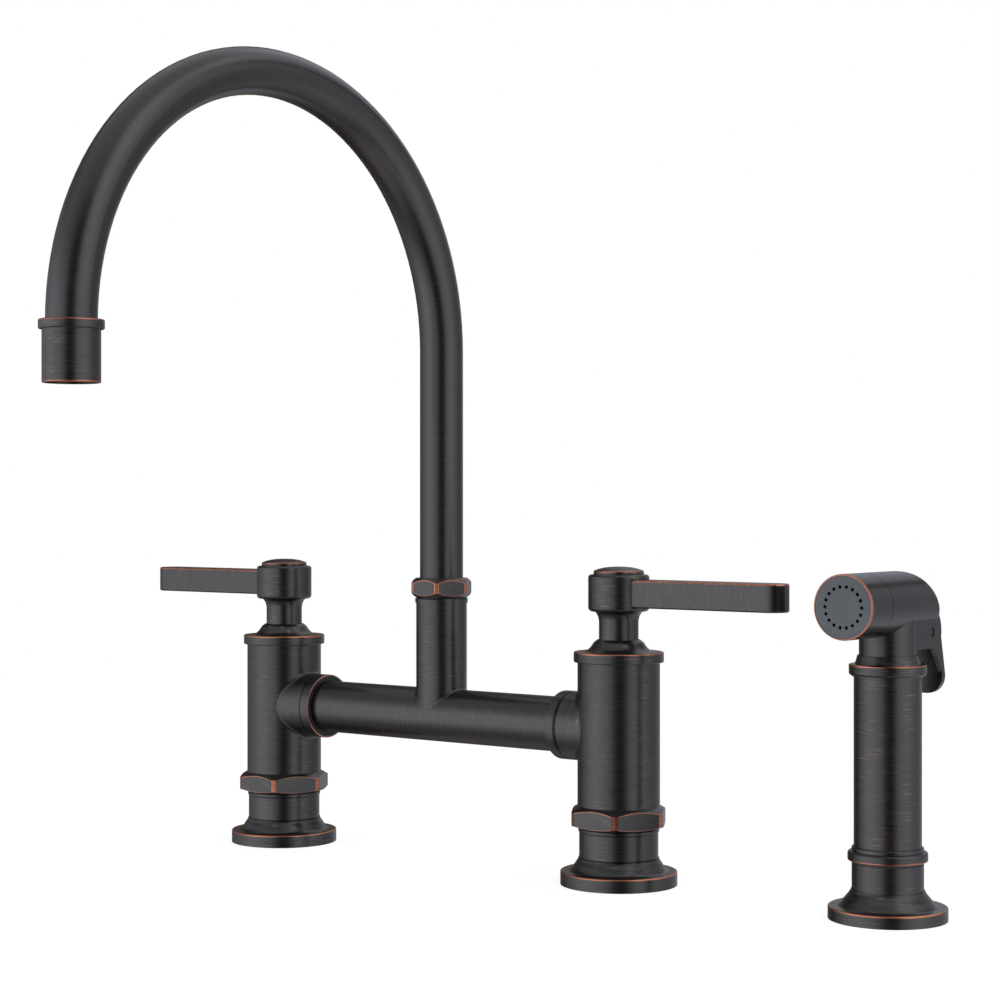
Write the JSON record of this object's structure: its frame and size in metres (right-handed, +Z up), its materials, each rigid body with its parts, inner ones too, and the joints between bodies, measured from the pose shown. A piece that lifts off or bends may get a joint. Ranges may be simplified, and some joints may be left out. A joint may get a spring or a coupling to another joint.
{
  "type": "two handle kitchen faucet",
  "caption": "Bridge kitchen faucet with a swivelling gooseneck spout, a lever handle on each valve and a separate pull-up side spray in its own holder.",
  "frame": {"origin": "on the deck plane, midway between the two valves, under the riser of the spout", "axes": "+Z up from the deck; +X along the bridge towards the side spray, at the user's right; -Y towards the user, where the spout and the spray point at rest"},
  "size_m": [0.4465, 0.2739, 0.4293],
  "materials": {
    "bronze": "oil-rubbed dark bronze over brass, brushed satin, worn to copper at turned edges",
    "bare_brass": "bare machined brass",
    "steel": "stainless steel, fine machined",
    "dark_steel": "blackened steel",
    "rubber": "matt black rubber",
    "black_plastic": "moulded, matt",
    "grey_plastic": "moulded, matt dark grey",
    "white_plastic": "moulded, natural white",
    "ceramic": "lapped ceramic"
  },
  "bodies": {
    "faucet_body": {"left_base_flange": "bronze", "left_shank": "bronze", "left_coupling_nut": "bronze", "left_valve_body": "bronze", "left_union_ring": "bronze", "left_bonnet_cap": "bronze", "left_cartridge": "bare_brass", "left_fixed_disc": "ceramic", "right_base_flange": "bronze", "right_shank": "bronze", "right_coupling_nut": "bronze", "right_valve_body": "bronze", "right_union_ring": "bronze", "right_bonnet_cap": "bronze", "right_cartridge": "bare_brass", "right_fixed_disc": "ceramic", "base_gaskets": "rubber", "rubber_washers": "rubber", "steel_washers": "steel", "mounting_nuts": "bare_brass", "union_seals": "rubber", "stem_seals": "rubber", "bridge_tee": "bronze", "diverter_body": "white_plastic", "riser_nut": "bronze", "spout_bushing": "white_plastic", "spray_flange": "bronze", "spray_gasket": "rubber", "spray_holder": "bronze", "holder_liner": "black_plastic"},
    "spout": {"spout_tube": "bronze", "spout_o_rings": "rubber", "outlet_shell": "bronze", "aerator": "black_plastic", "aerator_screen": "steel"},
    "diverter": {"diverter_piston": "white_plastic"},
    "spray_hose_end": {"hose_nipple": "bare_brass"},
    "spray_wand": {"spray_tail": "bronze", "spray_grip": "bronze", "upper_collar": "bronze", "spray_head": "bronze", "spray_nose": "bronze", "nozzle_face": "grey_plastic", "trigger_pin": "dark_steel", "trigger_spring": "steel"},
    "trigger": {"spray_trigger": "bronze"},
    "spool": {"spray_spool": "bare_brass"},
    "left_handle": {"left_handle_hub": "bronze", "left_lever": "bronze", "left_handle_button": "bronze", "left_handle_screw": "steel", "left_stem": "bare_brass", "left_turning_disc": "ceramic"},
    "right_handle": {"right_handle_hub": "bronze", "right_lever": "bronze", "right_handle_button": "bronze", "right_handle_screw": "steel", "right_stem": "bare_brass", "right_turning_disc": "ceramic"}
  },
  "joints": [
    {"name": "spout_swivel", "type": "hinge", "parent": "faucet_body", "child": "spout", "pos_m": [0, 0, 0.105], "axis": [0, 0, 1], "continuous": true},
    {"name": "left_handle_turn", "type": "hinge", "parent": "faucet_body", "child": "left_handle", "pos_m": [-0.1016, 0, 0.085], "axis": [0, 0, 1], "range_deg": [0, 90]},
    {"name": "right_handle_turn", "type": "hinge", "parent": "faucet_body", "child": "right_handle", "pos_m": [0.1016, 0, 0.085], "axis": [0, 0, 1], "range_deg": [-90, 0]},
    {"name": "diverter_slide", "type": "slide", "parent": "faucet_body", "child": "diverter", "axis": [0, 0, 1], "range_m": [0, 0.0044]},
    {"name": "spray_lift", "type": "slide", "parent": "faucet_body", "child": "spray_hose_end", "axis": [0, 0, 1], "range_m": [0, 0.06]},
    {"name": "spray_swivel", "type": "hinge", "parent": "spray_hose_end", "child": "spray_wand", "pos_m": [0.2346, 0, 0], "axis": [0, 0, 1], "continuous": true},
    {"name": "trigger_swing", "type": "hinge", "parent": "spray_wand", "child": "trigger", "pos_m": [0.2346, 0.0168, 0.1163], "axis": [-1, 0, 0], "range_deg": [0, 14], "stiffness_Nm_per_rad": 0.06, "springref_deg": -17.19, "deforming": ["trigger_spring"]},
    {"name": "spool_slide", "type": "slide", "parent": "spray_wand", "child": "spool", "axis": [0, -1, 0], "range_m": [0, 0.0012]}
  ],
  "couplings": [
    {"joint": "spool_slide", "follows": "trigger_swing", "m_per_rad": 0.0043}
  ]
}
